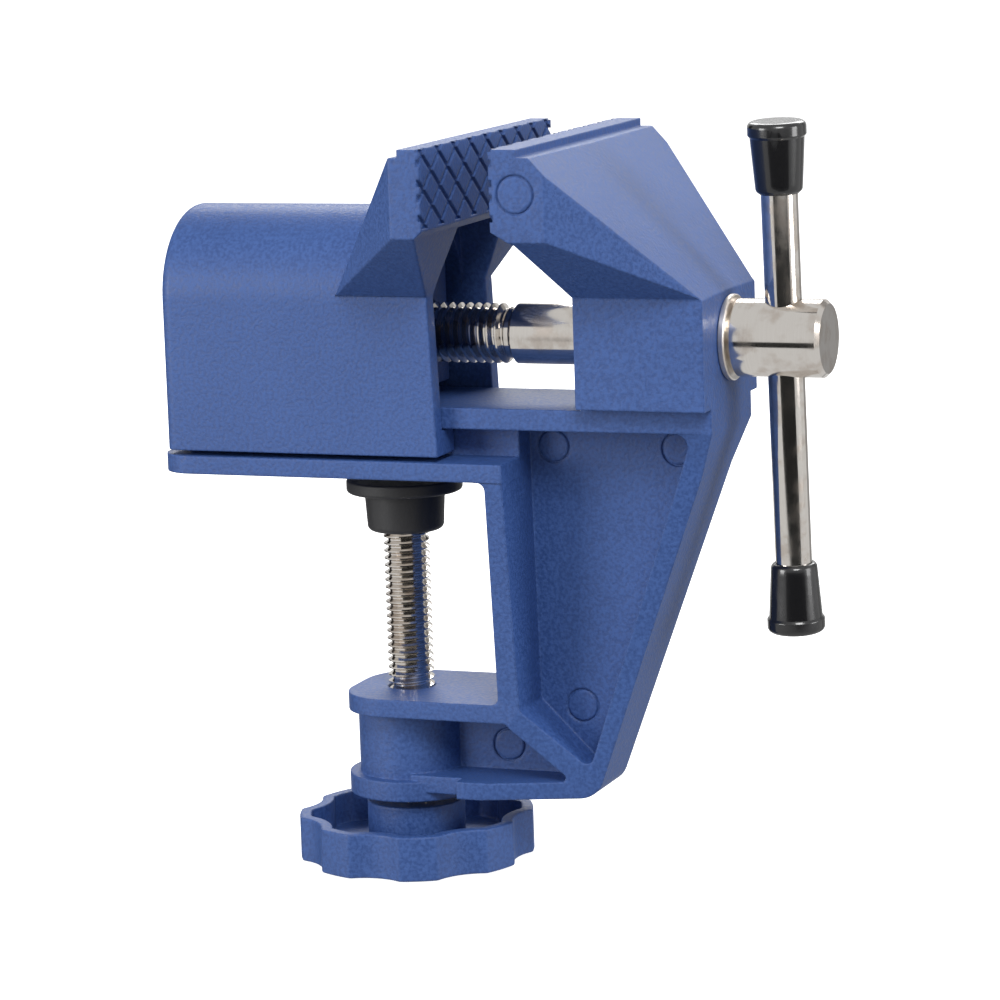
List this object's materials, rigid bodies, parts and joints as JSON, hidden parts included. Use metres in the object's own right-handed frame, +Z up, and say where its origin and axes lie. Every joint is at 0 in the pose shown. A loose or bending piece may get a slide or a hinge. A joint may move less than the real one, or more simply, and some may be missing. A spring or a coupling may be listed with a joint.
{
  "type": "table clamp bench vise",
  "caption": "Small table-clamp bench vise: a hollow sliding jaw runs on a T-rail, drawn by a lead screw with a sliding handle bar; a screw clamp below holds it to a table edge.",
  "frame": {"origin": "where the clamp screw's axis meets the underside of the table plate, on the plane of symmetry", "axes": "+X along the lead screw towards its handle, +Y to the far side as seen with the handle on the right, +Z up"},
  "size_m": [0.1134, 0.06, 0.125],
  "materials": {
    "blue_paint": "semi-gloss",
    "zinc_steel": "bright zinc plated",
    "nickel_steel": "bright",
    "black_gloss": "gloss",
    "black_matte": "matte"
  },
  "bodies": {
    "frame": {"frame": "blue_paint", "thrust_washer": "zinc_steel", "back_washer": "zinc_steel"},
    "jaw": {"sliding_jaw": "blue_paint", "jaw_nut": "zinc_steel"},
    "lead_screw": {"lead_screw": "nickel_steel", "retaining_ring": "zinc_steel"},
    "handle": {"handle_bar": "nickel_steel", "upper_cap": "black_gloss", "lower_cap": "black_gloss"},
    "pad": {"clamp_pad": "black_matte"},
    "clamp_screw": {"clamp_screw": "nickel_steel", "clamp_knob": "blue_paint", "knob_washer": "zinc_steel", "knob_screw": "zinc_steel"}
  },
  "joints": [
    {"name": "lead_screw_turn", "type": "hinge", "parent": "frame", "child": "lead_screw", "pos_m": [0, 0, 0.0226], "axis": [1, 0, 0], "range_deg": [-2780, 4360]},
    {"name": "jaw_slide", "type": "slide", "parent": "frame", "child": "jaw", "axis": [1, 0, 0], "range_m": [-0.0182, 0.0116]},
    {"name": "handle_slide", "type": "slide", "parent": "lead_screw", "child": "handle", "axis": [0, -0.0628, 0.998], "range_m": [-0.0172, 0.0308]},
    {"name": "clamp_screw_turn", "type": "hinge", "parent": "pad", "child": "clamp_screw", "pos_m": [0, 0, -0.05], "axis": [0, 0, 1], "range_deg": [-7200, 430]},
    {"name": "clamp_travel", "type": "slide", "parent": "frame", "child": "pad", "axis": [0, 0, 1], "range_m": [-0.0251, 0.0015]}
  ],
  "couplings": [
    {"joint": "jaw_slide", "follows": "lead_screw_turn", "m_per_rad": -0.00023873},
    {"joint": "clamp_travel", "follows": "clamp_screw_turn", "m_per_rad": 0.00019894}
  ]
}
